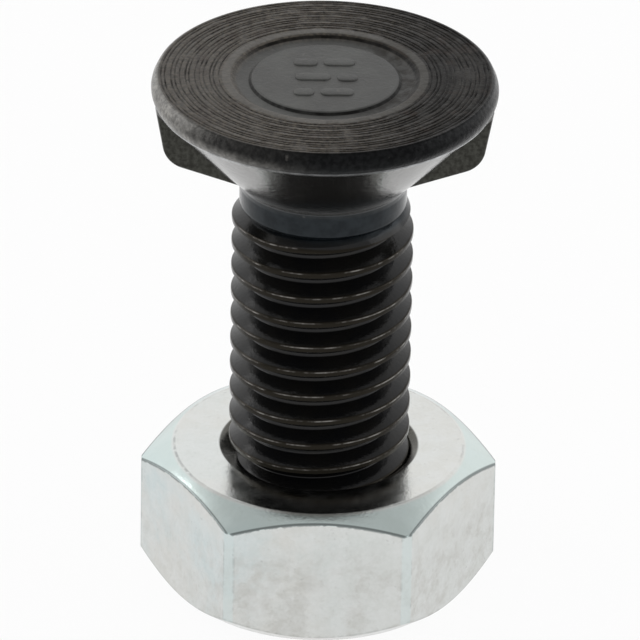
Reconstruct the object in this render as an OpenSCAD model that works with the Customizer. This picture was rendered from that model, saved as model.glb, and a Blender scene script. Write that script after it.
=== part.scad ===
// Plow bolt: round countersunk head with two nibs, rolled metric thread, and its hex nut.
// It stands on the nut with the head up. Z = 0 is the nut's lower face, and the bolt's axis is Z.
// The nibs lie along X, and two of the nut's flats face along Y.

/* [Bolt] */
// Nominal thread diameter
thread_d = 10; // [8:0.5:12]
// Thread pitch, the advance in one turn
pitch = 1.5; // [1:0.25:1.75]
// Length over the head, as countersunk bolts are measured
bolt_length = 30; // [26:1:60]
// How far the crests lie below the nominal diameter, on the diameter
crest_under = 0.15; // [0:0.05:0.3]
// How far the plain neck lies below the nominal diameter: the blank the thread is rolled on
neck_under = 0.94; // [0.6:0.02:1.1]
// Plain neck between the last of the thread and the foot of the head's cone
neck_length = 1.3; // [0.8:0.1:4]
// Length over which the last crest fades into the neck
run_out = 0.9; // [0.5:0.1:1.5]
// Height of the chamfer at the bolt's end
end_chamfer = 1; // [0.5:0.1:1.5]

/* [Head] */
// Diameter of the head
head_d = 18.7; // [16.5:0.1:24]
// Height of the straight land round the head's edge
land_h = 1.3; // [0.8:0.1:2.5]
// Included angle of the countersunk cone
cone_angle = 90; // [80:1:100]
// Fillet between the cone and the neck
neck_fillet = 0.8; // [0.3:0.1:1.2]
// Rounding of the land's two edges
land_round = 0.3; // [0.1:0.05:0.35]
// Outer diameter of the ring groove pressed into the head's face
groove_d = 10.2; // [9:0.1:13]
// Diameter of the raised disc inside that groove
disc_d = 7.9; // [6:0.1:8.5]
// Depth of the ring groove
groove_depth = 0.4; // [0.2:0.05:0.7]
// How far the disc lies below the head's face
disc_drop = 0.12; // [0:0.02:0.18]
// Draft of the groove's two walls, measured across
groove_draft = 0.2; // [0.05:0.05:0.25]

/* [Nibs] */
// Width of each nib
nib_w = 3.5; // [2.5:0.1:5]
// How far the nib's lower corner lies inside the head's edge
nib_set = 0.85; // [0.6:0.05:1.5]
// Slope of the nib's lower edge
nib_slope = 18.5; // [10:0.5:25]
// Rounding of the nib's lower corner
nib_round = 1.2; // [0.4:0.1:1.3]
// Height of the nib's inner end above the foot of the cone
nib_lift = 0.25; // [0:0.05:0.5]

/* [Nut] */
// Width across the flats
nut_s = 17; // [16:0.5:19]
// Height of the nut
nut_h = 8; // [6:0.5:10]
// Diameter over the rounded corners
nut_corner_d = 19.35; // [18.7:0.05:21]
// Diameter of the flat circle on the upper face
nut_face_d = 15.75; // [14.5:0.05:15.9]
// Angle of the upper corner chamfers to the face
nut_chamfer = 30; // [20:1:40]
// Diameter of the flat circle on the lower face
nut_base_d = 15.4; // [14.5:0.05:15.9]
// Angle of the lower corner chamfers, cut a little deeper than the upper ones
nut_base_chamfer = 37; // [20:1:40]
// Width of the countersink at each end of the bore, on the radius
bore_chamfer = 0.3; // [0.2:0.05:0.6]

/* [Fit] */
// Gap between the thread's crests and the nut's bore, on the radius
thread_gap = 0.2; // [0.1:0.05:0.4]
// How far the bolt's end lies inside the nut's lower face
end_inset = 0.5; // [0:0.1:2]

/* [Hidden] */
$fn = 64;

// Straight facets in one turn of the thread, and in one rounded corner of an outline
turn_steps = 40;
arc_steps = 6;
// Overlap that lets one solid run into its neighbour before they are joined
lap = 0.1;

// Heights from the nut's lower face up
end_z = end_inset;
top_z = end_z + bolt_length;
land_z = top_z - land_h;
head_r = head_d / 2;
neck_r = (thread_d - neck_under) / 2;
cone_slope = tan(cone_angle / 2);
cone_z = land_z - (head_r - neck_r) / cone_slope;
thread_z = cone_z - neck_length;

// Thread: 60 degrees between the flanks, a flat crest and a flat root a sixth of the pitch wide
flank_angle = 30;
crest_r = (thread_d - crest_under) / 2;
crest_w = pitch / 8 + crest_under * tan(flank_angle);
root_w = pitch / 6;
flank_h = (pitch - crest_w - root_w) / 2;
root_r = crest_r - flank_h / tan(flank_angle);
// Height of the crest's middle above Z = 0, on the +X side
thread_phase = 0.3;
// The fading crest and the rod's top end inside the neck
sunk_r = neck_r - lap;

nut_bore_r = crest_r + thread_gap;
nut_corner_r = nut_corner_d / 2;

function unit(v) = v / norm(v);

// Points that round the corner b between the straight runs from a and to c
function corner(a, b, c, r) =
    let (u = unit(a - b), v = unit(c - b), half = acos(u * v) / 2)
    let (middle = b + unit(u + v) * r / sin(half), p = b + u * r / tan(half) - middle)
    let (first = atan2(p.y, p.x), sweep = sign(cross(v, u)) * (180 - 2 * half))
    [for (i = [0:arc_steps])
        let (angle = first + sweep * i / arc_steps)
        middle + r * [cos(angle), sin(angle)]];

// Outline through [x, y, radius] corners, each rounded by its own radius
function rounded(list) =
    let (n = len(list), flat = [for (q = list) [q.x, q.y]])
    [for (i = [0:n - 1])
        let (before = flat[(i + n - 1) % n], after = flat[(i + 1) % n])
        each list[i].z > 0 ? corner(before, flat[i], after, list[i].z) : [flat[i]]];

// One pitch of the thread as [height, radius] corners, from the crest's lower edge up
thread_corners = [
    [-crest_w / 2, crest_r],
    [crest_w / 2, crest_r],
    [crest_w / 2 + flank_h, root_r],
    [crest_w / 2 + flank_h + root_w, root_r]
];
corners = len(thread_corners);

// Crests keep their radius up to the run-out and then sink into the neck
function faded(r, z) = min(r, sunk_r + (crest_r - sunk_r) * max(0, min(1, (thread_z - z) / run_out)));

// Point on the thread at a row of corners and a step round the axis
function thread_point(row, step, bottom) =
    let (spot = thread_corners[row % corners], angle = 360 * step / turn_steps)
    let (z = bottom + spot[0] + pitch * (floor(row / corners) + step / turn_steps))
    let (r = faded(spot[1], z))
    [r * cos(angle), r * sin(angle), z];

// Right-hand threaded rod, longer than the thread at both ends; each row of corners is one helix,
// and a turn later it is the row of the same corner one pitch up
module threaded_rod() {
    bottom = thread_phase - 2 * pitch;
    turns = ceil((cone_z - bottom) / pitch) + 1;
    rows = corners * turns;
    last = turn_steps - 1;
    function at(row, step) = step > last ? at(row + corners, 0) : row * turn_steps + step;
    points = [for (row = [0:rows], step = [0:last]) thread_point(row, step, bottom)];
    low_tip = len(points);
    low_rim = concat([for (step = [0:last]) at(0, step)], [for (row = [corners:-1:1]) at(row, 0)]);
    high_rim = concat([for (step = [0:last]) at(rows, step)], [for (i = [1:corners]) at(rows - i, last)]);
    walls = [for (step = [0:last], row = [0:rows - 1 - (step == last ? corners : 0)])
        each [[at(row, step), at(row + 1, step), at(row + 1, step + 1)],
              [at(row, step), at(row + 1, step + 1), at(row, step + 1)]]];
    rim = len(low_rim);
    low_end = [for (i = [0:rim - 1]) [low_tip, low_rim[i], low_rim[(i + 1) % rim]]];
    high_end = [for (i = [0:rim - 1]) [low_tip + 1, high_rim[(i + 1) % rim], high_rim[i]]];
    tips = [[0, 0, bottom], [0, 0, bottom + pitch * turns]];
    polyhedron(concat(points, tips), concat(walls, low_end, high_end));
}

// The thread cut off square at the bolt's end, with its lead-in chamfer
module thread() {
    intersection() {
        threaded_rod();
        rotate_extrude()
            polygon([
                [0, end_z],
                [crest_r - end_chamfer, end_z],
                [crest_r + pitch, end_z + end_chamfer + pitch],
                [crest_r + pitch, cone_z],
                [0, cone_z]
            ]);
    }
}

// Head and neck in one turned outline: disc, ring groove, face, land, cone, neck and taper to the core
module turned_head() {
    groove_z = top_z - groove_depth;
    disc_z = top_z - disc_drop;
    core_r = root_r - lap;
    edge = groove_draft / 2;
    rotate_extrude()
        polygon(rounded([
            [0, disc_z, 0],
            [disc_d / 2, disc_z, edge],
            [disc_d / 2 + groove_draft, groove_z, edge],
            [groove_d / 2 - groove_draft, groove_z, edge],
            [groove_d / 2, top_z, edge],
            [head_r, top_z, land_round],
            [head_r, land_z, land_round],
            [neck_r, cone_z, neck_fillet],
            [neck_r, thread_z, 0],
            [core_r, thread_z - run_out, 0],
            [0, thread_z - run_out, 0]
        ]));
}

// One nib under the head, towards +X: an upright web with a rounded lower corner
module nib() {
    foot_z = cone_z + nib_lift;
    corner_x = head_r - nib_set;
    corner_z = foot_z + (corner_x - neck_r) * tan(nib_slope);
    shoulder_x = sqrt(head_r * head_r - nib_w * nib_w / 4) - lap;
    rotate([90, 0, 0])
        linear_extrude(nib_w, center = true)
            polygon(rounded([
                [0, foot_z, 0],
                [neck_r, foot_z, 0],
                [corner_x, corner_z, nib_round],
                [shoulder_x, land_z, 0],
                [0, land_z, 0]
            ]));
}

module plow_bolt() {
    color([0.16, 0.16, 0.16]) {
        turned_head();
        thread();
        nib();
        mirror([1, 0, 0]) nib();
    }
}

// Hexagon with round corners and both faces chamfered, over the plain bore that stands for its thread
module hex_nut() {
    face_fall = (nut_corner_r - nut_face_d / 2) * tan(nut_chamfer);
    base_fall = (nut_corner_r - nut_base_d / 2) * tan(nut_base_chamfer);
    sink_r = nut_bore_r + bore_chamfer;
    color([0.80, 0.83, 0.85])
        difference() {
            intersection() {
                cylinder(h = nut_h, d = nut_s / cos(30), $fn = 6);
                rotate_extrude()
                    polygon([
                        [0, 0],
                        [nut_base_d / 2, 0],
                        [nut_corner_r, base_fall],
                        [nut_corner_r, nut_h - face_fall],
                        [nut_face_d / 2, nut_h],
                        [0, nut_h]
                    ]);
            }
            rotate_extrude()
                polygon([
                    [0, -lap],
                    [sink_r + lap, -lap],
                    [nut_bore_r, bore_chamfer],
                    [nut_bore_r, nut_h - bore_chamfer],
                    [sink_r + lap, nut_h + lap],
                    [0, nut_h + lap]
                ]);
        }
}

plow_bolt();
hex_nut();
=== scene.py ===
"""A black plow bolt standing head up on its bright zinc hex nut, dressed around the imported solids."""

import math
from types import SimpleNamespace

import bmesh
import bpy
from mathutils import Matrix, Vector, noise


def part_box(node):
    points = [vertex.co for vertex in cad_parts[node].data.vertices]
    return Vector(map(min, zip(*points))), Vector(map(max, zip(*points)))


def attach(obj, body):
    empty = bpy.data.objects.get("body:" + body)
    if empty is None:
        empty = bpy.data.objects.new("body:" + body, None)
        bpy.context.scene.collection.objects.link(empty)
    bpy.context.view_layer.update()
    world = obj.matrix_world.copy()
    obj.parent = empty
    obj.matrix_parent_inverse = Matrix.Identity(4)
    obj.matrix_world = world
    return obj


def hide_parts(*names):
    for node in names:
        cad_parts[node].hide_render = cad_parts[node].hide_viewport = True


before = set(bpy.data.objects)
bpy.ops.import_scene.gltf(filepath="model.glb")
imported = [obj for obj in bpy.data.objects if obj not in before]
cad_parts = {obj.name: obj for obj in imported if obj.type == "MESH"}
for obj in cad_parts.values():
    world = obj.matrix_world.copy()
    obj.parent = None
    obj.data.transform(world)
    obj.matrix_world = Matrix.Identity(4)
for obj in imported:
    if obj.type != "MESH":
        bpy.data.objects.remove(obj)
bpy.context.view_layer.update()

MM = 0.001
FULL_TURN = 2 * math.pi
# Vertices closer than this are one vertex
WELD = 0.002 * MM
# How far one shape runs into its neighbour before they are joined
LAP = 0.1 * MM
# Facets round a turned shape
LATHE_STEPS = 256
# Edges sharper than this break the smooth shading
SMOOTH_ANGLE = math.radians(28)

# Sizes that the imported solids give
bolt_low, bolt_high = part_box("plow_bolt")
_, nut_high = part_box("hex_nut")
END_Z = bolt_low.z
TOP_Z = bolt_high.z
HEAD_R = bolt_high.y
NUT_H = nut_high.z
NUT_FLAT = nut_high.y
NUT_CORNER_R = nut_high.x

# Bolt: head, neck and nibs
LAND_Z = TOP_Z - 1.3 * MM
NECK_R = 4.53 * MM
CONE_Z = LAND_Z - (HEAD_R - NECK_R)
RING_R = 5.1 * MM
RING_DEPTH = 0.34 * MM
DISC_R = 3.95 * MM
DISC_DROP = 0.12 * MM
NIB_W = 3.5 * MM
NIB_SET = 0.85 * MM
NIB_SLOPE = math.radians(18.5)
NIB_LIFT = 0.25 * MM
NIB_CORNER_R = 1.5 * MM
NIB_EDGE = 0.15 * MM

# Turning marks on the head's face, left by the die: their places wander a little, and so does their depth
MARK_FIRST_R = 5.65 * MM
MARK_STEP = 0.26 * MM
MARK_COUNT = 13
MARK_WANDER = 0.16
MARK_BEAT = 2.4
MARK_W = 0.6 * MARK_STEP
MARK_DEPTH = 0.045 * MM
MARK_LEAST = 0.01 * MM
MARK_ROUGH = 0.05 * MM
MARK_PATCH = 0.8 * MM

# Worn raised dashes on the disc, as (across, along, length) in millimetres
DASHES = [
    (-1.05, 1.75, 1.3), (0.75, 1.8, 1.7),
    (-0.65, 0.05, 1.9), (1.2, 0.0, 1.1),
    (-1.15, -1.75, 1.1), (0.65, -1.7, 1.8),
]
DASH_W = 0.8 * MM
DASH_H = 0.09 * MM
DASH_END_R = 0.36 * MM
DASH_EDGE = 0.08 * MM

# Thread that bolt and nut share; the crests' upper edges are worn rounder than their lower ones
NOMINAL_R = 5 * MM
PITCH = 1.5 * MM
CREST_R = 4.925 * MM
ROOT_R = 4.05 * MM
UPPER_SOFT = 0.12 * MM
LOWER_SOFT = 0.02 * MM
ROOT_SOFT = 0.1 * MM
THREAD_PHASE = 0.3 * MM
THREAD_Z = CONE_Z - 1.3 * MM
RUN_OUT = 0.7 * MM
END_CHAMFER = 1.0 * MM
FLANK = math.tan(math.radians(30))
TURN_STEPS = 96

# Nut: faces, chamfers and tapped bore
NUT_FACE_R = 7.875 * MM
NUT_BASE_R = 7.7 * MM
NUT_FACE_CHAMFER = math.radians(30)
NUT_BASE_CHAMFER = math.radians(37)
NUT_EDGE = 0.045 * MM
NUT_SINK_R = 5.425 * MM
NUT_THREAD_IN = 4.25 * MM
NUT_THREAD_OUT = 5.05 * MM
TAP_PLAY = 0.04 * MM
TAP_SOFT = 0.02 * MM
TAP_PAST = 0.2 * MM
# Facets that differ by less than the first angle are one plane, and edges above the second one are softened
NUT_PLANE_ANGLE = math.radians(0.2)
NUT_SHARP_ANGLE = math.radians(12)

# Camera, set to the photograph's view of a 640 by 640 frame
VIEW_ELEVATION = math.radians(28.31)
VIEW_AZIMUTH = math.radians(-0.40)
VIEW_ROLL = math.radians(1.02)
VIEW_DISTANCE = 0.5995
VIEW_AIM = Vector((-0.05 * MM, 0, 15.62 * MM))
VIEW_NEAR = 0.01
FRAME_PX = 640
FOCAL_PX = 11044
SENSOR_MM = 36

# Floor and light: how bright each side of the surroundings is, and the floor in reflections
FLOOR_HALF = 2
FLOOR_DROP = 0.02 * MM
FLOOR_GLOW = 0.9
FLOOR_CLEAR = 0.94
FRONT_GLOW = 0.7
BACK_GLOW = 1.0
CEILING_GLOW = 0.55
LAMP_AIM = Vector((0, 0, 0.015))
LAMP_W = 0.6
LAMP_H = 0.5


# Outlines

def rounded(corners, steps=6):
    """Points through (across, up, radius) corners, with each corner rounded by its own radius."""
    points = []
    for i, (x, z, radius) in enumerate(corners):
        here = Vector((x, z))
        if radius == 0:
            points.append(here)
            continue
        back = (Vector(corners[i - 1][:2]) - here).normalized()
        on = (Vector(corners[(i + 1) % len(corners)][:2]) - here).normalized()
        half = back.angle(on) / 2
        middle = here + (back + on).normalized() * radius / math.sin(half)
        spoke = here + back * radius / math.tan(half) - middle
        sweep = math.copysign(math.pi - 2 * half, on.cross(back))
        points += [middle + Matrix.Rotation(sweep * k / steps, 2) @ spoke for k in range(steps + 1)]
    return points


# Mesh makers

def chain(bm, points):
    """Row of (across, up) points at Y = 0, joined by edges; returns its vertices and edges."""
    verts = [bm.verts.new((across, 0, up)) for across, up in points]
    edges = [bm.edges.new(pair) for pair in zip(verts, verts[1:])]
    return verts + edges


def only(kind, geom):
    """Members of geom that are of one kind."""
    return [g for g in geom if isinstance(g, kind)]


def span(edge, axis):
    """How far an edge reaches along the axis x, y or z."""
    first, last = edge.verts
    return abs(getattr(first.co, axis) - getattr(last.co, axis))


def soften(bm, edges, width, segments=3):
    """Rounds edges over the given width."""
    bmesh.ops.bevel(bm, geom=edges, offset=width, segments=segments, profile=0.5, affect="EDGES", material=-1)


def lathe(outline):
    """Turns an outline of (radius, height) points about Z; it starts and ends on the axis."""
    bm = bmesh.new()
    bmesh.ops.spin(bm, geom=chain(bm, outline), cent=(0, 0, 0), axis=(0, 0, 1), angle=FULL_TURN,
                   steps=LATHE_STEPS, use_merge=True)
    bmesh.ops.remove_doubles(bm, verts=bm.verts, dist=WELD)
    bmesh.ops.recalc_face_normals(bm, faces=bm.faces)
    return bm


def screw(outline, low, high):
    """Sweeps one pitch of (radius, height) points up a right-hand helix, cut square at low and high."""
    bm = bmesh.new()
    start = THREAD_PHASE + PITCH * (math.floor(low / PITCH) - 2)
    row = chain(bm, [(r, start + z) for r, z in outline])
    bmesh.ops.spin(bm, geom=row, cent=(0, 0, 0), axis=(0, 0, 1), angle=FULL_TURN, steps=TURN_STEPS,
                   dvec=(0, 0, PITCH / TURN_STEPS))
    one_turn = bm.verts[:] + bm.edges[:] + bm.faces[:]
    for turn in range(1, math.ceil((high - start) / PITCH) + 1):
        grown = bmesh.ops.duplicate(bm, geom=one_turn)["geom"]
        bmesh.ops.translate(bm, verts=only(bmesh.types.BMVert, grown), vec=(0, 0, PITCH * turn))
    bmesh.ops.remove_doubles(bm, verts=bm.verts, dist=WELD)
    for height, outward in ((low, -1), (high, 1)):
        cut = bmesh.ops.bisect_plane(bm, geom=bm.verts[:] + bm.edges[:] + bm.faces[:], dist=WELD / 10,
                                     plane_co=(0, 0, height), plane_no=(0, 0, outward), clear_outer=True)
        bmesh.ops.contextual_create(bm, geom=only(bmesh.types.BMEdge, cut["geom_cut"]))
    bmesh.ops.recalc_face_normals(bm, faces=bm.faces)
    return bm


def piece(name, bm):
    """Object at the origin that takes over a bmesh."""
    mesh = bpy.data.meshes.new(name)
    bm.to_mesh(mesh)
    bm.free()
    thing = bpy.data.objects.new(name, mesh)
    bpy.context.scene.collection.objects.link(thing)
    return thing


def combine(body, operation, *tools):
    """Joins, cuts or crosses body with each tool, and takes the tools away."""
    for tool in tools:
        step = body.modifiers.new(tool.name, "BOOLEAN")
        step.operation = operation
        step.object = tool
        step.solver = "MANIFOLD"
    graph = bpy.context.evaluated_depsgraph_get()
    mesh = bpy.data.meshes.new_from_object(body.evaluated_get(graph))
    body.modifiers.clear()
    body.data = mesh
    for tool in tools:
        bpy.data.objects.remove(tool)
    return body


def finish(thing, material):
    """One material all over, and smooth shading that breaks at sharp edges."""
    thing.data.materials.clear()
    thing.data.materials.append(material)
    thing.data.shade_smooth()
    thing.data.set_sharp_from_angle(angle=SMOOTH_ANGLE)


# The bolt's pieces

def head_outline():
    """Half of the head and neck, from the disc's middle out, over the land and down to the core."""
    disc_z = TOP_Z - DISC_DROP
    ring_z = TOP_Z - RING_DEPTH
    core_z = THREAD_Z - 0.6 * MM
    corners = [
        (0, disc_z, 0),
        (DISC_R - 0.03 * MM, disc_z, 0.12 * MM),
        (DISC_R + 0.2 * MM, ring_z, 0.12 * MM),
        (RING_R - 0.42 * MM, ring_z, 0.3 * MM),
        (RING_R, TOP_Z, 0.25 * MM),
    ]
    for i in range(MARK_COUNT):
        r = MARK_FIRST_R + (i + MARK_WANDER * math.sin(MARK_BEAT * i)) * MARK_STEP
        corners += [
            (r, TOP_Z, 0),
            (r + MARK_W / 2, TOP_Z - MARK_DEPTH, 0),
            (r + MARK_W, TOP_Z, 0),
        ]
    corners += [
        (HEAD_R - 0.26 * MM, TOP_Z, 0.22 * MM),
        (HEAD_R, TOP_Z - 0.55 * MM, 0.7 * MM),
        (HEAD_R - 0.02 * MM, LAND_Z + 0.38 * MM, 0.7 * MM),
        (HEAD_R - 0.22 * MM, LAND_Z, 0.12 * MM),
        (NECK_R + 0.07 * MM, CONE_Z + 0.07 * MM, 0.5 * MM),
        (NECK_R, CONE_Z - 0.3 * MM, 0.1 * MM),
        (NECK_R, THREAD_Z - 0.1 * MM, 0.4 * MM),
        (ROOT_R - LAP, core_z, 0),
        (0, core_z, 0),
    ]
    return rounded(corners)


def worn_dashes():
    """Soft raised dashes across the disc, in three rows."""
    bm = bmesh.new()
    for across, along, length in DASHES:
        spot = Vector((across * MM, along * MM, TOP_Z - DISC_DROP))
        size = Vector((length * MM, DASH_W, 2 * DASH_H))
        bmesh.ops.create_cube(bm, size=1, matrix=Matrix.LocRotScale(spot, None, size))
    soften(bm, [e for e in bm.edges if span(e, "z") > WELD], DASH_END_R, segments=6)
    soften(bm, [e for e in bm.edges if span(e, "z") < WELD], DASH_EDGE)
    bmesh.ops.recalc_face_normals(bm, faces=bm.faces)
    return piece("dashes", bm)


def nib(name, side):
    """One web under the head, towards +X or -X."""
    foot_z = CONE_Z + NIB_LIFT
    root_x = 0.5 * NECK_R
    corner_x = HEAD_R - NIB_SET
    corner_z = foot_z + (corner_x - NECK_R) * math.tan(NIB_SLOPE)
    shoulder_x = math.sqrt(HEAD_R ** 2 - NIB_W ** 2 / 4) - LAP
    outline = rounded([
        (root_x, foot_z, 0),
        (NECK_R, foot_z, 0),
        (corner_x, corner_z, NIB_CORNER_R),
        (shoulder_x, LAND_Z, 0),
        (root_x, LAND_Z, 0),
    ], steps=10)
    bm = bmesh.new()
    face = bm.faces.new([bm.verts.new((x, -NIB_W / 2, z)) for x, z in outline])
    grown = bmesh.ops.extrude_face_region(bm, geom=[face])["geom"]
    bmesh.ops.translate(bm, verts=only(bmesh.types.BMVert, grown), vec=(0, NIB_W, 0))
    bmesh.ops.recalc_face_normals(bm, faces=bm.faces)
    soften(bm, [e for e in bm.edges if span(e, "y") < WELD], NIB_EDGE)
    bmesh.ops.scale(bm, vec=(side, 1, 1), verts=bm.verts)
    bmesh.ops.recalc_face_normals(bm, faces=bm.faces)
    return piece(name, bm)


def thread_outline(crest_r, root_r, play, upper_soft, lower_soft, root_soft):
    """One pitch of a 60 degree thread between two crests' middles, with play added on the radius."""
    def half_width(r):
        return PITCH / 16 + (NOMINAL_R + play - r) * FLANK
    corners = [
        (crest_r, 0, 0),
        (crest_r, half_width(crest_r), upper_soft),
        (root_r, half_width(root_r), root_soft),
        (root_r, PITCH - half_width(root_r), root_soft),
        (crest_r, PITCH - half_width(crest_r), lower_soft),
        (crest_r, PITCH, 0),
    ]
    return rounded(corners, steps=4)


def threaded_shank():
    """The thread, fading into the neck above and chamfered at its end."""
    sunk_r = NECK_R - LAP
    bm = screw(thread_outline(CREST_R, ROOT_R, 0, UPPER_SOFT, LOWER_SOFT, ROOT_SOFT), END_Z, CONE_Z)
    for vert in bm.verts:
        r = vert.co.xy.length
        fade = min(1, max(0, (THREAD_Z - vert.co.z) / RUN_OUT))
        limit = min(sunk_r + (CREST_R - sunk_r) * fade, CREST_R - END_CHAMFER + vert.co.z - END_Z)
        if r > limit:
            vert.co.xy *= limit / r
    return piece("shank", bm)


def roughen_marks(bm):
    """Makes the turning marks deeper here and shallower there, as the die left them."""
    floor_z = TOP_Z - MARK_DEPTH
    for vert in bm.verts:
        if abs(vert.co.z - floor_z) < WELD and vert.co.xy.length > MARK_FIRST_R:
            uneven = noise.noise(vert.co / MARK_PATCH)
            vert.co.z = min(TOP_Z - MARK_LEAST, floor_z - MARK_ROUGH * uneven)


def plow_bolt():
    """The whole bolt in one closed piece."""
    turned = lathe(head_outline())
    roughen_marks(turned)
    bolt = piece("black_plow_bolt", turned)
    combine(bolt, "UNION", threaded_shank(), nib("nib_right", 1), nib("nib_left", -1), worn_dashes())
    return bolt


# The nut

def hexagon():
    """The nut's plain prism, with two flats facing along Y, and its corners turned round."""
    face_fall = (NUT_CORNER_R - NUT_FACE_R) * math.tan(NUT_FACE_CHAMFER)
    base_fall = (NUT_CORNER_R - NUT_BASE_R) * math.tan(NUT_BASE_CHAMFER)
    turned = [
        (0, 0),
        (NUT_BASE_R, 0),
        (NUT_CORNER_R, base_fall),
        (NUT_CORNER_R, NUT_H - face_fall),
        (NUT_FACE_R, NUT_H),
        (0, NUT_H),
    ]
    bm = bmesh.new()
    sharp_r = NUT_FLAT / math.cos(math.pi / 6)
    bmesh.ops.create_cone(bm, cap_ends=True, segments=6, radius1=sharp_r, radius2=sharp_r, depth=NUT_H)
    bmesh.ops.rotate(bm, verts=bm.verts, cent=(0, 0, 0), matrix=Matrix.Rotation(math.pi / 2, 3, "Z"))
    bmesh.ops.translate(bm, verts=bm.verts, vec=(0, 0, NUT_H / 2))
    return combine(piece("zinc_hex_nut", bm), "INTERSECT", piece("turned_faces", lathe(turned)))


def hex_nut():
    """The whole nut: hexagon with softened edges, countersunk at both ends and tapped."""
    nut = hexagon()
    bm = bmesh.new()
    bm.from_mesh(nut.data)
    bmesh.ops.dissolve_limit(bm, angle_limit=NUT_PLANE_ANGLE, verts=bm.verts, edges=bm.edges)
    soften(bm, [e for e in bm.edges if len(e.link_faces) == 2 and e.calc_face_angle() > NUT_SHARP_ANGLE],
           NUT_EDGE)
    bm.to_mesh(nut.data)
    bm.free()

    sink_depth = (NUT_SINK_R - NUT_THREAD_IN) * FLANK
    sink_r = NUT_SINK_R + TAP_PAST / FLANK
    core_r = NUT_THREAD_IN - 0.05 * MM
    low_sink = lathe([(0, -TAP_PAST), (sink_r, -TAP_PAST), (core_r, sink_depth), (0, sink_depth)])
    high_sink = lathe([(0, NUT_H - sink_depth), (core_r, NUT_H - sink_depth),
                       (sink_r, NUT_H + TAP_PAST), (0, NUT_H + TAP_PAST)])
    grooves = thread_outline(NUT_THREAD_OUT, NUT_THREAD_IN, TAP_PLAY, TAP_SOFT, TAP_SOFT, TAP_SOFT)
    tap = screw(grooves, -TAP_PAST, NUT_H + TAP_PAST)
    combine(nut, "DIFFERENCE", piece("tap", tap), piece("low_sink", low_sink), piece("high_sink", high_sink))
    return nut


def keep_flat(thing):
    """Shades the six flats and the two ring faces as true planes."""
    sixth = FULL_TURN / 6
    for face in thing.data.polygons:
        turn = math.atan2(face.normal.y, face.normal.x) % sixth
        upright = abs(face.normal.z) < 0.001 and abs(turn - sixth / 2) < 0.001
        if upright or abs(face.normal.z) > 0.9999:
            face.use_smooth = False


# Shader nodes

def rgba(r, g, b):
    return (r, g, b, 1.0)


def wire(tree, kind, inputs=None, **settings):
    """Adds a node, gives it its settings, and joins or sets its inputs."""
    made = tree.nodes.new(kind)
    for name, value in settings.items():
        setattr(made, name, value)
    for name, value in (inputs or {}).items():
        if isinstance(value, bpy.types.NodeSocket):
            tree.links.new(value, made.inputs[name])
        else:
            made.inputs[name].default_value = value
    return made


def sums(tree, operation, first, second=0.0, clamp=False):
    """Result of one Math node."""
    inputs = {0: first, 1: second}
    return wire(tree, "ShaderNodeMath", inputs, operation=operation, use_clamp=clamp).outputs[0]


def chained(tree, operation, values):
    """Result of one operation over two or more values in a row."""
    result = values[0]
    for value in values[1:]:
        result = sums(tree, operation, result, value)
    return result


def times(tree, *values):
    """Product of the values."""
    return chained(tree, "MULTIPLY", values)


def total(tree, *values):
    """Sum of the values."""
    return chained(tree, "ADD", values)


def most(tree, *values):
    """Largest of the values."""
    return chained(tree, "MAXIMUM", values)


def minus(tree, first, second):
    """First less second."""
    return sums(tree, "SUBTRACT", first, second)


def flip(tree, mask):
    """Mask turned round: 1 where it was 0."""
    return minus(tree, 1.0, mask)


def lift(tree, mask, gain, base):
    """Mask times gain, plus base."""
    return total(tree, times(tree, mask, gain), base)


def slope(tree, value, low, high, at_low=0.0, at_high=1.0):
    """Smooth step of value, from at_low below low to at_high above high."""
    inputs = {"Value": value, "From Min": low, "From Max": high, "To Min": at_low, "To Max": at_high}
    return wire(tree, "ShaderNodeMapRange", inputs, interpolation_type="SMOOTHSTEP").outputs["Result"]


def below(tree, value, low, high):
    """Mask that is 1 below low and fades out up to high."""
    return slope(tree, value, low, high, 1.0, 0.0)


def between(tree, value, low, high, soft):
    """Mask that is 1 from low to high and fades out over soft on both sides."""
    return times(tree, slope(tree, value, low - soft, low), below(tree, value, high, high + soft))


def tint(tree, mask, under, over):
    """Colour under, turning to over where mask is 1."""
    return wire(tree, "ShaderNodeMix", {0: mask, 6: under, 7: over}, data_type="RGBA").outputs[2]


def layers(tree, colour, *coats):
    """Colour with each coat of (mask, colour) laid over the ones before."""
    for mask, over in coats:
        colour = tint(tree, mask, colour, over)
    return colour


def new_group(name, inputs, outputs):
    """Shader node group with named float or vector sockets; returns its tree, and its inner ends."""
    tree = bpy.data.node_groups.new(name, "ShaderNodeTree")
    kinds = {"vector": "NodeSocketVector", "value": "NodeSocketFloat"}
    for label, kind in inputs:
        tree.interface.new_socket(label, in_out="INPUT", socket_type=kinds[kind])
    for label, kind in outputs:
        tree.interface.new_socket(label, in_out="OUTPUT", socket_type=kinds[kind])
    return tree, tree.nodes.new("NodeGroupInput"), tree.nodes.new("NodeGroupOutput")


def place(tree, group, **inputs):
    """Puts a node group into a material with its own values."""
    return wire(tree, "ShaderNodeGroup", inputs, node_tree=group)


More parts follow.
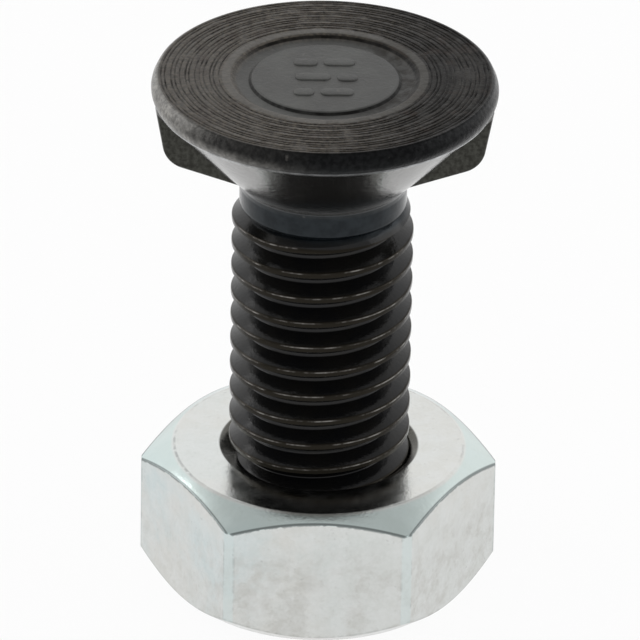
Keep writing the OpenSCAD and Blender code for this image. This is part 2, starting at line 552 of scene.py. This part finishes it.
def turned_place_group():
    """Where a point lies on a turned piece, in millimetres: the place itself, its radius and its height.

    Helix is the place across the thread, from 0 at one crest's middle to 1 at the next crest's."""
    outputs = [("Place", "vector"), ("Radius", "value"), ("Height", "value"), ("Helix", "value")]
    tree, _, out = new_group("turned_place", [], outputs)
    spot = wire(tree, "ShaderNodeTexCoord").outputs["Object"]
    per_mm = {"Vector": spot, "Scale": (1 / MM, 1 / MM, 1 / MM)}
    spot = wire(tree, "ShaderNodeMapping", per_mm).outputs["Vector"]
    parts = wire(tree, "ShaderNodeSeparateXYZ", {"Vector": spot}).outputs
    level = wire(tree, "ShaderNodeCombineXYZ", {"X": parts["X"], "Y": parts["Y"]}).outputs["Vector"]
    radius = wire(tree, "ShaderNodeVectorMath", {0: level}, operation="LENGTH").outputs["Value"]
    turn = sums(tree, "DIVIDE", sums(tree, "ARCTAN2", parts["Y"], parts["X"]), FULL_TURN)
    rise = sums(tree, "DIVIDE", minus(tree, parts["Z"], THREAD_PHASE / MM), PITCH / MM)
    helix = sums(tree, "FRACT", minus(tree, rise, turn))
    tree.links.new(spot, out.inputs["Place"])
    tree.links.new(radius, out.inputs["Radius"])
    tree.links.new(parts["Z"], out.inputs["Height"])
    tree.links.new(helix, out.inputs["Helix"])
    return tree


def clouds_group():
    """Soft blotches: noise of a given scale, stepped between Low and High."""
    inputs = [("Place", "vector"), ("Scale", "value"), ("Low", "value"), ("High", "value")]
    tree, given, out = new_group("clouds", inputs, [("Mask", "value")])
    given = given.outputs
    cloud = wire(tree, "ShaderNodeTexNoise",
                 {"Vector": given["Place"], "Scale": given["Scale"], "Detail": 5.0, "Roughness": 0.6})
    step = slope(tree, cloud.outputs["Fac"], given["Low"], given["High"])
    tree.links.new(step, out.inputs["Mask"])
    return tree


def nicks_group():
    """Scattered small spots: cells of a given scale, a Share of which hold a spot of a given Size."""
    inputs = [("Place", "vector"), ("Scale", "value"), ("Share", "value"), ("Size", "value")]
    tree, given, out = new_group("nicks", inputs, [("Mask", "value")])
    given = given.outputs
    ragged = wire(tree, "ShaderNodeTexNoise", {"Vector": given["Place"], "Scale": 3.0, "Detail": 3.0})
    shift = wire(tree, "ShaderNodeVectorMath", {0: ragged.outputs["Color"], 1: (0.5, 0.5, 0.5)},
                 operation="MULTIPLY")
    moved = wire(tree, "ShaderNodeVectorMath", {0: given["Place"], 1: shift.outputs["Vector"]},
                 operation="ADD")
    cells = wire(tree, "ShaderNodeTexVoronoi", {"Vector": moved.outputs["Vector"], "Scale": given["Scale"]})
    dice = wire(tree, "ShaderNodeSeparateColor", {"Color": cells.outputs["Color"]}).outputs["Red"]
    chosen = sums(tree, "LESS_THAN", dice, given["Share"])
    near = below(tree, cells.outputs["Distance"], 0.0, given["Size"])
    tree.links.new(times(tree, chosen, near), out.inputs["Mask"])
    return tree


def cloudy(tree, at, scale, low, high):
    """Mask of soft blotches."""
    return place(tree, clouds, Place=at.where, Scale=scale, Low=low, High=high).outputs["Mask"]


def nicked(tree, at, scale, share, size):
    """Mask of scattered small spots."""
    return place(tree, nicks, Place=at.where, Scale=scale, Share=share, Size=size).outputs["Mask"]


def turned_spot(tree):
    """Where a point lies on a turned piece, with its places along X and Y by name."""
    spot = place(tree, turned_place).outputs
    parts = wire(tree, "ShaderNodeSeparateXYZ", {"Vector": spot["Place"]}).outputs
    return SimpleNamespace(where=spot["Place"], radius=spot["Radius"], height=spot["Height"],
                           helix=spot["Helix"], side=parts["X"], back=parts["Y"])


def new_material(name, **sockets):
    """Material with one Principled shader, whose plain values are set on its own sockets."""
    made = bpy.data.materials.new(name)
    made.use_nodes = True
    shader = made.node_tree.nodes["Principled BSDF"]
    for socket, value in sockets.items():
        shader.inputs[socket.replace("_", " ")].default_value = value
    return made, made.node_tree, shader


# Black finish: a pair of colours runs from dark to light with a texture mask

THREAD_OILED = (rgba(0.0055, 0.0057, 0.0064), rgba(0.0085, 0.0080, 0.0072))
RIDGE_BROWN = rgba(0.0150, 0.0125, 0.0085)
# Worn crest lines, partly a painted highlight
CREST_WORN_HIGHLIGHT = rgba(0.225, 0.215, 0.200)
END_SAWN = (rgba(0.012, 0.012, 0.0115), rgba(0.050, 0.048, 0.044))
NECK_BLUED = (rgba(0.0055, 0.0090, 0.0120), rgba(0.0135, 0.0185, 0.0225))
LAND_BLACK = (rgba(0.0025, 0.0028, 0.0032), rgba(0.0095, 0.0100, 0.0106))
# Painted sheen on the land's lower part and on its left
LAND_LOWER_SHEEN = rgba(0.0090, 0.0100, 0.0105)
LAND_LEFT_SHEEN = (rgba(0.150, 0.142, 0.128), rgba(0.320, 0.306, 0.280))
NIB_GREY = (rgba(0.026, 0.0255, 0.021), rgba(0.060, 0.0605, 0.052))
FACE_BROWN = (rgba(0.017, 0.0128, 0.0090), rgba(0.084, 0.069, 0.050))
# Painted shade on the right of the face, and painted sheen on its left
FACE_RIGHT_SHADE = rgba(0.006, 0.0055, 0.0048)
FACE_LEFT_SHEEN = rgba(0.105, 0.095, 0.081)
FACE_RUST = rgba(0.030, 0.018, 0.012)
FACE_GLINT = rgba(0.17, 0.16, 0.14)
MARK_BLACK = rgba(0.004, 0.0035, 0.003)
PIT_BLACK = rgba(0.003, 0.0025, 0.002)
RING_PALE = rgba(0.115, 0.110, 0.100)
RING_GRIME = rgba(0.016, 0.012, 0.008)
# Painted shade on the ring groove's walls
RING_WALL_SHADE = rgba(0.005, 0.0048, 0.0045)
DISC_GREY = (rgba(0.056, 0.057, 0.055), rgba(0.084, 0.087, 0.083))
CONE_STEEL = (rgba(0.190, 0.188, 0.182), rgba(0.238, 0.236, 0.229))
# Painted shade on the cone's right
CONE_RIGHT_SHADE = rgba(0.165, 0.164, 0.157)
SCUFF_GREY = rgba(0.12, 0.115, 0.105)
# Bare steel on the land's lower edge, partly a painted highlight
EDGE_BARE_HIGHLIGHT = rgba(0.62, 0.63, 0.64)


def face_finish(tree, at, disc, stain, grain, blotch):
    """The head's face, brown and pitted, with painted sheen on the left and painted shade on the right and on
    the ring groove's walls; returns its colour, how dark metal it is, and its pits.
    """
    top = TOP_Z / MM
    rust = cloudy(tree, at, 0.9, 0.52, 0.70)
    dotted = cloudy(tree, at, 6.0, 0.36, 0.60)
    pits = nicked(tree, at, 3.2, 0.4, 0.3)
    specks = nicked(tree, at, 6.5, 0.4, 0.42)
    glints = nicked(tree, at, 4.0, 0.22, 0.35)

    # Painted sheen makes it paler on the left, and painted shade makes it darker on the right but for a band
    # near the edge
    left_sheen = times(tree, lift(tree, blotch, 0.6, 0.4), below(tree, at.side, -9.0, 4.0))
    band = between(tree, at.radius, 7.3, 8.2, 0.5)
    right_shade = times(tree, slope(tree, at.side, -2.0, 7.0), slope(tree, band, 0.0, 1.0, 1.0, 0.85))

    # Turning marks, broken up by pits, and darker on the right with the painted shade
    uneven = total(tree, times(tree, blotch, 0.5), times(tree, right_shade, 0.3))
    marks = times(tree, below(tree, at.height, top - 0.03, top - 0.006),
                  between(tree, at.radius, 5.65, 8.93, 0.05), lift(tree, dotted, 0.5, 0.5))
    marks = sums(tree, "MULTIPLY", marks, total(tree, uneven, 0.34), clamp=True)
    spread = times(tree, total(tree, uneven, 0.15), between(tree, at.radius, 5.6, 8.9, 0.1))
    pitted = times(tree, most(tree, pits, specks), spread)

    # Ring groove: painted shade darkens its walls where they face away from the light, with grime on the
    # right
    outer_wall_shade = times(tree, between(tree, at.radius, 4.88, 4.97, 0.07),
                       slope(tree, at.back, -1.5, 1.5, 0.35, 1.0), slope(tree, at.side, -5.0, -3.0, 0.4, 1.0))
    disc_wall_shade = times(tree, between(tree, at.radius, 4.0, 4.09, 0.05),
                      slope(tree, at.back, -1.0, 0.8, 1.0, 0.3))
    wall_shade = times(tree, most(tree, outer_wall_shade, disc_wall_shade), lift(tree, blotch, 0.2, 0.72))
    ring = between(tree, at.radius, 5.15, 5.5, 0.1)
    grime = times(tree, between(tree, at.radius, 4.15, 4.8, 0.1), slope(tree, at.side, 0.5, 4.0),
                  lift(tree, blotch, 0.5, 0.2))

    colour = layers(tree, tint(tree, grain, *FACE_BROWN),
                    (times(tree, right_shade, 0.95), FACE_RIGHT_SHADE),
                    (times(tree, left_sheen, 0.33), FACE_LEFT_SHEEN),
                    (times(tree, rust, 0.6), FACE_RUST),
                    (marks, MARK_BLACK),
                    (pitted, PIT_BLACK),
                    (times(tree, glints, 0.3), FACE_GLINT),
                    (times(tree, ring, 0.5), RING_PALE),
                    (times(tree, disc, 0.85), tint(tree, stain, *DISC_GREY)),
                    (grime, RING_GRIME),
                    (wall_shade, RING_WALL_SHADE))
    # Dark metal in the hollows, and in the painted shade on the right and on the groove's walls
    hollow_and_shade = most(tree, marks, pitted, times(tree, right_shade, lift(tree, blotch, 0.3, 0.68)), 0.1)
    hollow_and_shade = most(tree, times(tree, hollow_and_shade, flip(tree, disc)), wall_shade, grime)
    return colour, hollow_and_shade, pitted


def land_finish(tree, at, grain, blotch):
    """The land round the head, black, with painted sheen on the left and low down and painted shade on its
    upper front; returns its colour, and where the painted sheen on the left lies.
    """
    land = LAND_Z / MM
    # Painted shade on the land's upper front
    upper_front_shade = times(tree, slope(tree, at.height, land + 0.3, land + 0.8),
                        slope(tree, at.back, -7.5, -3.5, 0.8, 0.0))
    # Painted sheen on the left, kept off the painted shade
    left_sheen = times(tree, lift(tree, blotch, 0.4, 0.55), below(tree, at.side, -9.0, 0.5),
                   flip(tree, upper_front_shade))
    # Painted sheen on the land's lower part
    lower_sheen = times(tree, below(tree, at.height, land + 0.2, land + 0.75), blotch)
    colour = layers(tree, tint(tree, grain, *LAND_BLACK),
                    (lower_sheen, LAND_LOWER_SHEEN),
                    (left_sheen, tint(tree, grain, *LAND_LEFT_SHEEN)))
    return colour, left_sheen


def black_oxide():
    """Quenched and oiled steel: pitted face, burnished cone darkened on the right by painted shade, blued
    neck, wet thread with worn crests that are partly a painted highlight.
    """
    made, tree, shader = new_material("black_oxide", Specular_IOR_Level=0.48)
    at = turned_spot(tree)
    top = TOP_Z / MM
    land = LAND_Z / MM
    foot = CONE_Z / MM
    neck_z = THREAD_Z / MM
    end_z = END_Z / MM

    # Where each finish lies; proud is how far a point stands out from the cone
    face = times(tree, slope(tree, at.height, top - 0.5, top - 0.42), below(tree, at.radius, 8.9, 9.05))
    disc = times(tree, face, below(tree, at.radius, 4.6, 5.0))
    lip = times(tree, slope(tree, at.height, land - 0.15, land + 0.05), flip(tree, face))
    proud = minus(tree, at.radius, total(tree, at.height, NECK_R / MM - foot))
    cone = times(tree, slope(tree, at.height, foot - 0.1, foot + 0.5),
                 below(tree, at.height, land - 0.1, land), below(tree, proud, 0.08, 0.14))
    web = times(tree, between(tree, at.height, foot, land - 0.1, 0.2), slope(tree, proud, 0.1, 0.2))
    neck = between(tree, at.height, neck_z - 0.2, foot - 0.1, 0.3)
    thread = below(tree, at.height, neck_z - 0.3, neck_z + 0.1)
    end = below(tree, at.height, end_z + 0.01, end_z + 0.1)

    # Texture masks
    stain = cloudy(tree, at, 0.45, 0.38, 0.66)
    grain = cloudy(tree, at, 4.0, 0.34, 0.68)
    blotch = cloudy(tree, at, 1.6, 0.36, 0.64)
    bare = cloudy(tree, at, 0.9, 0.36, 0.66)
    scuff = nicked(tree, at, 1.1, 0.14, 0.2)
    dents = nicked(tree, at, 1.6, 0.22, 0.25)

    # Bare steel along the land's lower edge, strongest at the left and right as a painted highlight, and
    # along the upper edge of the crests, partly a painted highlight too
    bare_edge_highlight = times(tree, between(tree, at.height, land - 0.04, land + 0.09, 0.05),
                 slope(tree, at.radius, 8.95, 9.05), lift(tree, blotch, 0.4, 0.5),
                 slope(tree, sums(tree, "ABSOLUTE", at.side), 2.5, 6.5, 0.25, 1.0))
    ridge = times(tree, thread, slope(tree, at.radius, 4.80, 4.89))
    # Worn crest lines, partly a painted highlight
    crest_wear_highlight = times(tree, between(tree, at.helix, 0.055, 0.075, 0.02), ridge, bare, bare)

    face_colour, hollow_and_shade, pitted = face_finish(tree, at, disc, stain, grain, blotch)
    land_colour, left_sheen = land_finish(tree, at, grain, blotch)
    # Painted shade darkens the cone towards the right
    cone_colour = layers(tree, tint(tree, grain, *CONE_STEEL),
                         (slope(tree, at.side, 0.0, 7.0, 0.0, 0.5), CONE_RIGHT_SHADE))
    colour = layers(tree, tint(tree, stain, *THREAD_OILED),
                    (ridge, RIDGE_BROWN),
                    (end, tint(tree, blotch, *END_SAWN)),
                    (neck, tint(tree, blotch, *NECK_BLUED)),
                    (lip, land_colour),
                    (web, tint(tree, grain, *NIB_GREY)),
                    (face, face_colour),
                    (cone, cone_colour),
                    (times(tree, scuff, flip(tree, thread), 0.6), SCUFF_GREY),
                    (crest_wear_highlight, CREST_WORN_HIGHLIGHT),
                    (bare_edge_highlight, EDGE_BARE_HIGHLIGHT))
    tree.links.new(colour, shader.inputs["Base Color"])

    # Dark metal reflects little straight on: the face's hollows and its painted shade, and the oiled thread,
    # neck, nibs and land, less so where the land's painted sheen lies
    oiled = times(tree, thread, flip(tree, most(tree, end, crest_wear_highlight)), slope(tree, ridge, 0.0, 1.0, 0.4, 0.85))
    black = sums(tree, "SUBTRACT", 0.85, times(tree, left_sheen, 1.5), clamp=True)
    metal = most(tree, cone, bare_edge_highlight, times(tree, hollow_and_shade, face), oiled, times(tree, neck, 0.6),
                 times(tree, web, 0.8), times(tree, lip, black))
    tree.links.new(metal, shader.inputs["Metallic"])
    rough = total(tree, lift(tree, stain, 0.05, 0.08), times(tree, most(tree, face, end), 0.40),
                  times(tree, most(tree, lip, web), 0.14))
    tree.links.new(rough, shader.inputs["Roughness"])

    relief = minus(tree, times(tree, grain, 0.6), most(tree, dents, pitted))
    relief = times(tree, relief, lift(tree, most(tree, face, lip, end), 0.65, 0.35))
    bump = wire(tree, "ShaderNodeBump", {"Height": relief, "Strength": 0.5, "Distance": 0.03 * MM})
    tree.links.new(bump.outputs["Normal"], shader.inputs["Normal"])
    return made


# Zinc plate

ZINC_PLAIN = rgba(0.69, 0.692, 0.662)
ZINC_FILM = rgba(0.62, 0.71, 0.72)
# Painted shade low down and to the right
ZINC_SHADE = rgba(0.545, 0.545, 0.515)
ZINC_MOTTLE = rgba(0.77, 0.79, 0.785)
ZINC_GRAIN = rgba(0.80, 0.815, 0.81)
ZINC_SAND = rgba(0.50, 0.50, 0.48)
# Painted highlight on the rounded corners
ZINC_CORNER_HIGHLIGHT = rgba(0.67, 0.785, 0.785)
ZINC_SPECK = rgba(0.30, 0.31, 0.30)
ZINC_CHAMFER = rgba(0.585, 0.725, 0.71)
SEAM_DARK = rgba(0.09, 0.10, 0.10)
BORE_DARK = rgba(0.045, 0.041, 0.030)


def bright_zinc():
    """Thin bright zinc plate with a faint blue film, with painted shade low down and to the right and a
    painted highlight on the rounded corners.
    """
    made, tree, shader = new_material("bright_zinc", Metallic=1.0)
    at = turned_spot(tree)
    face_r = NUT_FACE_R / MM
    flat = NUT_FLAT / MM
    corner_r = NUT_CORNER_R / MM

    # How far a point lies outwards across the flats, under the upper chamfer and over the lower one
    across = sums(tree, "ABSOLUTE", at.back)
    for turn in (math.radians(60), math.radians(-60)):
        slant = total(tree, times(tree, at.side, math.sin(turn)), times(tree, at.back, math.cos(turn)))
        across = most(tree, across, sums(tree, "ABSOLUTE", slant))
    past = most(tree, minus(tree, at.radius, face_r), 0.0)
    roof = minus(tree, NUT_H / MM, times(tree, past, math.tan(NUT_FACE_CHAMFER)))
    under = minus(tree, roof, at.height)
    sill = times(tree, minus(tree, at.radius, NUT_BASE_R / MM), math.tan(NUT_BASE_CHAMFER))
    over = minus(tree, at.height, sill)

    # Texture masks
    film = cloudy(tree, at, 0.16, 0.36, 0.60)
    stain = cloudy(tree, at, 1.0, 0.41, 0.63)
    mottle = cloudy(tree, at, 0.9, 0.36, 0.66)
    grain = cloudy(tree, at, 5.0, 0.32, 0.70)
    broken = cloudy(tree, at, 2.4, 0.34, 0.56)
    specks = nicked(tree, at, 1.8, 0.2, 0.16)
    sand = nicked(tree, at, 4.0, 0.3, 0.4)

    # The upper chamfers, a painted highlight on the rounded corners, and the darker countersink round the
    # bore
    bevel = times(tree, slope(tree, past, 0.05, 0.25), below(tree, under, 0.02, 0.1))
    # Painted highlight along the rounded corners
    corner_highlight = slope(tree, at.radius, corner_r - 0.06, corner_r - 0.01)
    # The countersink darkened round the bore
    bore_dark = below(tree, at.radius, 5.36, 5.5)

    # Dark lines of uneven width along the chamfers' edges, and fine ones round the face and the corners
    line_w = lift(tree, broken, 0.12, 0.05)
    outer = slope(tree, across, flat - 0.14, flat - 0.05)
    seam = times(tree, outer, below(tree, under, 0.02, line_w), 0.75)
    base_seam = times(tree, outer, below(tree, over, 0.02, line_w))
    side_line = times(tree, between(tree, at.radius, corner_r - 0.055, corner_r - 0.02, 0.02), stain)
    faint = times(tree, most(tree, base_seam, side_line), broken, 0.2)
    circle = times(tree, between(tree, at.radius, face_r - 0.02, face_r + 0.05, 0.06),
                   below(tree, under, 0.05, 0.15))
    rim = times(tree, circle, broken, film, 0.4)

    blued = times(tree, film, slope(tree, at.side, -8.0, 4.0, 1.0, 0.25),
                  slope(tree, at.height, 6.5, 7.9, 1.0, 0.3))
    # Painted shade low down and to the right, blotchy
    low_right_shade = times(tree, lift(tree, stain, 0.65, 0.35), slope(tree, at.height, 4.0, 6.8, 0.95, 0.15),
                   slope(tree, at.side, -8.0, -3.0, 0.45, 1.0))
    colour = layers(tree, tint(tree, blued, ZINC_PLAIN, ZINC_FILM),
                    (low_right_shade, ZINC_SHADE),
                    (times(tree, mottle, 0.4), ZINC_MOTTLE),
                    (times(tree, grain, 0.22), ZINC_GRAIN),
                    (times(tree, sand, 0.3), ZINC_SAND),
                    (times(tree, corner_highlight, 0.4), ZINC_CORNER_HIGHLIGHT),
                    (times(tree, specks, 0.45), ZINC_SPECK),
                    (times(tree, bevel, 0.55), ZINC_CHAMFER),
                    (most(tree, seam, rim, faint), SEAM_DARK),
                    (times(tree, bore_dark, 0.9), BORE_DARK))
    tree.links.new(colour, shader.inputs["Base Color"])
    tree.links.new(lift(tree, mottle, 0.08, 0.15), shader.inputs["Roughness"])
    relief = minus(tree, total(tree, times(tree, grain, 0.5), times(tree, mottle, 0.3)), specks)
    bump = wire(tree, "ShaderNodeBump", {"Height": relief, "Strength": 0.14, "Distance": 0.03 * MM})
    tree.links.new(bump.outputs["Normal"], shader.inputs["Normal"])
    return made


# Camera, floor and light

def pale_ground():
    """Pale floor that takes the shadow and shows white in reflections.

    To the camera it is a thin veil over the white surroundings, so that the nut still shows through it
    where it runs off the bolt. From below it is clear."""
    made = bpy.data.materials.new("pale_ground")
    made.use_nodes = True
    tree = made.node_tree
    tree.nodes.clear()
    ray = tree.nodes.new("ShaderNodeLightPath").outputs
    behind = tree.nodes.new("ShaderNodeNewGeometry").outputs["Backfacing"]
    clear = tree.nodes.new("ShaderNodeBsdfTransparent").outputs[0]
    matt = wire(tree, "ShaderNodeBsdfDiffuse", {"Color": rgba(0.9, 0.9, 0.9)}).outputs[0]
    glow = wire(tree, "ShaderNodeEmission", {"Color": rgba(1, 1, 1), "Strength": FLOOR_GLOW}).outputs[0]
    veil = times(tree, ray["Is Camera Ray"], FLOOR_CLEAR)
    mirrored = most(tree, ray["Is Glossy Ray"], ray["Is Transmission Ray"])
    seen = wire(tree, "ShaderNodeMixShader", {0: veil, 1: matt, 2: clear}).outputs[0]
    upper = wire(tree, "ShaderNodeMixShader", {0: mirrored, 1: seen, 2: glow}).outputs[0]
    sheet = wire(tree, "ShaderNodeMixShader", {0: behind, 1: upper, 2: clear}).outputs[0]
    wire(tree, "ShaderNodeOutputMaterial", {"Surface": sheet})
    return made


def floor():
    """Wide floor just under the nut."""
    bm = bmesh.new()
    bmesh.ops.create_grid(bm, x_segments=1, y_segments=1, size=FLOOR_HALF)
    bmesh.ops.translate(bm, verts=bm.verts, vec=(0, 0, -FLOOR_DROP))
    ground = piece("floor", bm)
    ground.data.materials.append(pale_ground())


def camera():
    """The photograph's view."""
    eye = bpy.data.cameras.new("camera")
    eye.sensor_width = SENSOR_MM
    eye.lens = FOCAL_PX * SENSOR_MM / FRAME_PX
    eye.clip_start = VIEW_NEAR
    thing = bpy.data.objects.new("camera", eye)
    bpy.context.scene.collection.objects.link(thing)
    turn = (Matrix.Rotation(VIEW_AZIMUTH, 3, "Z") @ Matrix.Rotation(math.pi / 2 - VIEW_ELEVATION, 3, "X")
            @ Matrix.Rotation(VIEW_ROLL, 3, "Z"))
    thing.matrix_world = Matrix.LocRotScale(VIEW_AIM + turn @ Vector((0, 0, VIEW_DISTANCE)), turn, None)
    bpy.context.scene.camera = thing


def lamp(name, stand, power):
    """Soft box that looks from its stand towards the part."""
    light = bpy.data.lights.new(name, "AREA")
    light.shape = "RECTANGLE"
    light.size = LAMP_W
    light.size_y = LAMP_H
    light.energy = power
    thing = bpy.data.objects.new(name, light)
    bpy.context.scene.collection.objects.link(thing)
    look = LAMP_AIM - Vector(stand)
    thing.matrix_world = Matrix.LocRotScale(Vector(stand), look.to_track_quat("-Z", "Y"), None)


def studio():
    """White surroundings, a little dimmer in front of the part and overhead, and two soft boxes."""
    world = bpy.data.worlds.new("studio")
    bpy.context.scene.world = world
    world.use_nodes = True
    tree = world.node_tree
    tree.nodes.clear()
    sky = wire(tree, "ShaderNodeTexCoord").outputs["Generated"]
    way = wire(tree, "ShaderNodeSeparateXYZ", {0: sky}).outputs
    around = slope(tree, way["Y"], 0.05, 0.35, FRONT_GLOW, BACK_GLOW)
    ceiling = slope(tree, way["Z"], 0.55, 0.9)
    around = total(tree, times(tree, around, flip(tree, ceiling)), times(tree, ceiling, CEILING_GLOW))
    ray = tree.nodes.new("ShaderNodeLightPath").outputs
    strength = most(tree, around, ray["Is Camera Ray"])
    glow = wire(tree, "ShaderNodeBackground", {"Color": rgba(1, 1, 1), "Strength": strength})
    wire(tree, "ShaderNodeOutputWorld", {"Surface": glow.outputs[0]})
    lamp("left_box", (-0.70, 0.20, 0.30), 1.3)
    lamp("right_box", (0.70, 0.05, 0.30), 0.8)


# The scene

turned_place = turned_place_group()
clouds = clouds_group()
nicks = nicks_group()

camera()
studio()
floor()

bolt = plow_bolt()
finish(bolt, black_oxide())
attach(bolt, "bolt")
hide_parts("plow_bolt")

nut = hex_nut()
finish(nut, bright_zinc())
keep_flat(nut)
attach(nut, "nut")
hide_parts("hex_nut")

bpy.context.scene.view_settings.view_transform = "Standard"
